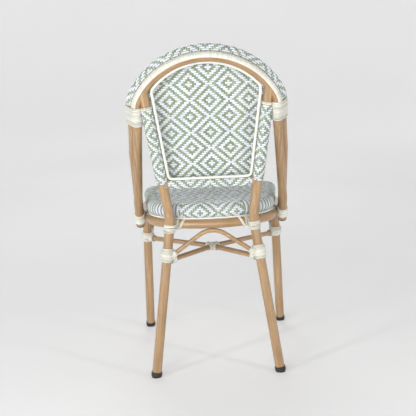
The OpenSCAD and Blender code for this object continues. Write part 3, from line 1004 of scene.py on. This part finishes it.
def bead(strands, centre, axis, radius, fat, sides=36):
    """Small uneven fillet of weld round the end of a tube."""
    axis = unit(axis)
    e, f = square_to(axis)
    a = np.arange(sides) * 2 * math.pi / sides
    r = radius + rng.uniform(-0.3, 0.3, sides)
    out = np.cos(a)[:, None] * e + np.sin(a)[:, None] * f
    line = centre + out * r[:, None] + axis * rng.uniform(-0.25, 0.25, sides)[:, None]
    taper = 1 + 0.18 * np.sin(a * 7)
    strands.sweep(line, np.tile(axis, (sides, 1)), out, disc(fat), closed=True, taper=taper)


def weld_beads():
    """Beads at both ends of the crossbar and at the tops of the front legs."""
    s = Strands()
    bar = upright(BAR_Z)
    bar[1] = BAR_Y
    for m in ((lambda p: p), flip):
        bead(s, m(bar - X * 12.5), m(X), BAR_R + 1.0, 2.8)
        bead(s, m(bar - X * 9.5), m(unit(X + 0.3 * Z)), BAR_R + 2.4, 2.2)
        bead(s, m(front_leg(398.5)), m(unit(FRONT_TOP - FRONT_FOOT)), LEG_R - 0.6, 1.7)
    make_piece("weld_beads", s, [CANE["rear_leg"]])


# ---- Build ----

back_panel()
back_sleeves()
front_arch_weave()
binding_band()
back_piping()
seat_roll()
seat_top()
seat_piping()
both(rear_lashing, "rear_leg_cord", "rear_leg_lashing")
both(rear_low_lashing, "rear_stretcher_cord", "rear_stretcher_wrap")
both(front_low_lashing, "front_stretcher_cord", "front_stretcher_wrap")
both(hoop_end_lashing, "hoop_end_cord", "hoop_end_wrap")
both(shoulder_lashing, "shoulder_cord", "shoulder_wrap")
both(upright_tie, "upright_tie_cord", "upright_tie")
centre_lashing()
weld_beads()

# Which way the grain runs on each bare tube
GRAIN = {"hoop_rear": "hoop", "hoop_front": "hoop", "back_crossbar": "cross",
         "seat_ring": "level", "rear_arch": "cross", "front_arch": "cross",
         "stretcher_long": "level", "stretcher_short_rear": "level",
         "stretcher_short_front": "level", "rear_leg_left": "rear_leg",
         "rear_leg_right": "rear_leg", "front_leg_left": "front_leg",
         "front_leg_right": "front_leg"}
for name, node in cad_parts.items():
    if name.startswith(("foot_glide", "plug")):
        look = RUBBER
    elif name in GRAIN:
        look = CANE[GRAIN[name]]
    else:
        look = CREAM
    for part in node.material_slots:
        part.material = look
    if not node.material_slots:
        node.data.materials.append(look)


# ---- Floor, light and camera ----

def studio():
    """Pale bowl that is a plain floor near the chair and curves up far away."""
    flat_r, curve_r, wall_top, turns = 4.4, 2.6, 6.0, 72
    profile = [(2.0, 0.0), (flat_r, 0.0)]
    for a in np.linspace(0, math.pi / 2, 14)[1:]:
        profile.append((flat_r + curve_r * math.sin(a), curve_r - curve_r * math.cos(a)))
    profile.append((flat_r + curve_r, wall_top))
    verts = [(r * math.cos(a), r * math.sin(a), z) for r, z in profile
             for a in (2 * math.pi * k / turns for k in range(turns))]
    faces = [tuple(range(turns))]
    for i in range(len(profile) - 1):
        for k in range(turns):
            a, b = i * turns + k, i * turns + (k + 1) % turns
            faces.append((a, a + turns, b + turns, b))
    mesh = bpy.data.meshes.new("floor")
    mesh.from_pydata(verts, [], faces)
    mesh.polygons.foreach_set("use_smooth", np.ones(len(faces), bool))
    m, nodes, links, shader = new_material("floor_paper")
    where = nodes.new("ShaderNodeTexCoord").outputs["Object"]
    soft = noise(nodes, links, where, 1.5, 2.0, 0.5)
    links.new(ramp(nodes, links, soft, [(0.3, (0.78,) * 3), (0.7, (0.80,) * 3)]),
              shader.inputs["Base Color"])
    shader.inputs["Roughness"].default_value = 0.9
    shader.inputs["Specular IOR Level"].default_value = 0.1
    # A faint glow, stronger towards the wall, evens out the light across the bowl
    far = nodes.new("ShaderNodeVectorMath")
    far.operation = "LENGTH"
    links.new(where, far.inputs[0])
    reach = math_node(nodes, links, "DIVIDE", far.outputs["Value"], 10.0)
    glow = ramp(nodes, links, reach, [(0.10, (0.155,) * 3), (0.30, (0.16,) * 3),
                                      (0.50, (0.305,) * 3)])
    links.new(glow, shader.inputs["Emission Color"])
    shader.inputs["Emission Strength"].default_value = 1.0
    mesh.materials.append(m)
    add_object("floor", mesh)


def area_light(name, place, aim, size, watts, height=None):
    """A soft light, unseen by the camera: round, or a rectangle if it has a height."""
    data = bpy.data.lights.new(name, "AREA")
    data.shape = "DISK" if height is None else "RECTANGLE"
    data.size = size
    if height is not None:
        data.size_y = height
    data.energy = watts
    light = add_object(name, data)
    light.location = place
    light.rotation_mode = "QUATERNION"
    light.rotation_quaternion = (Vector(aim) - Vector(place)).to_track_quat("-Z", "Y")
    light.visible_camera = False


def lights():
    area_light("key", (1.5, 3.0, 1.1), (0, 0, 0.5), 1.1, 27)
    area_light("soft", (0.3, 3.8, 1.5), (0, 0, 0.4), 2.6, 36)
    area_light("strip_left", (2.2, 2.1, 0.9), (0, 0, 0.6), 0.12, 26, 1.8)
    area_light("strip_right", (-2.3, 2.0, 0.9), (0, 0, 0.6), 0.12, 20, 1.8)
    area_light("front", (0.3, -3.0, 3.0), (0, 0, 0.3), 2.2, 36)
    world = bpy.data.worlds.new("studio")
    world.use_nodes = True
    world.node_tree.nodes["Background"].inputs[0].default_value = (1, 1, 1, 1)
    world.node_tree.nodes["Background"].inputs[1].default_value = 0.18
    bpy.context.scene.world = world
    bpy.context.scene.view_settings.view_transform = "Standard"


def camera():
    """The photograph's camera: behind the chair, a little above it and slightly rolled."""
    image, focal = 416, 900         # pixels
    data = bpy.data.cameras.new("camera")
    data.sensor_width = 36
    data.lens = focal / image * data.sensor_width
    data.clip_start, data.clip_end = 0.05, 60
    cam = add_object("camera", data)
    pitch, yaw, roll = (math.radians(a) for a in (10.8, 0.14, -2.63))
    rear = arr(math.sin(yaw) * math.cos(pitch), math.cos(yaw) * math.cos(pitch), math.sin(pitch))
    right = unit(np.cross(-rear, Z))
    up = np.cross(right, -rear)
    r = right * math.cos(roll) + up * math.sin(roll)
    u = -right * math.sin(roll) + up * math.cos(roll)
    turn = Matrix([(r[k], u[k], rear[k]) for k in range(3)]).to_4x4()
    cam.matrix_world = Matrix.Translation((0.01408, 2.48785, 0.89622)) @ turn
    bpy.context.scene.camera = cam


studio()
lights()
camera()
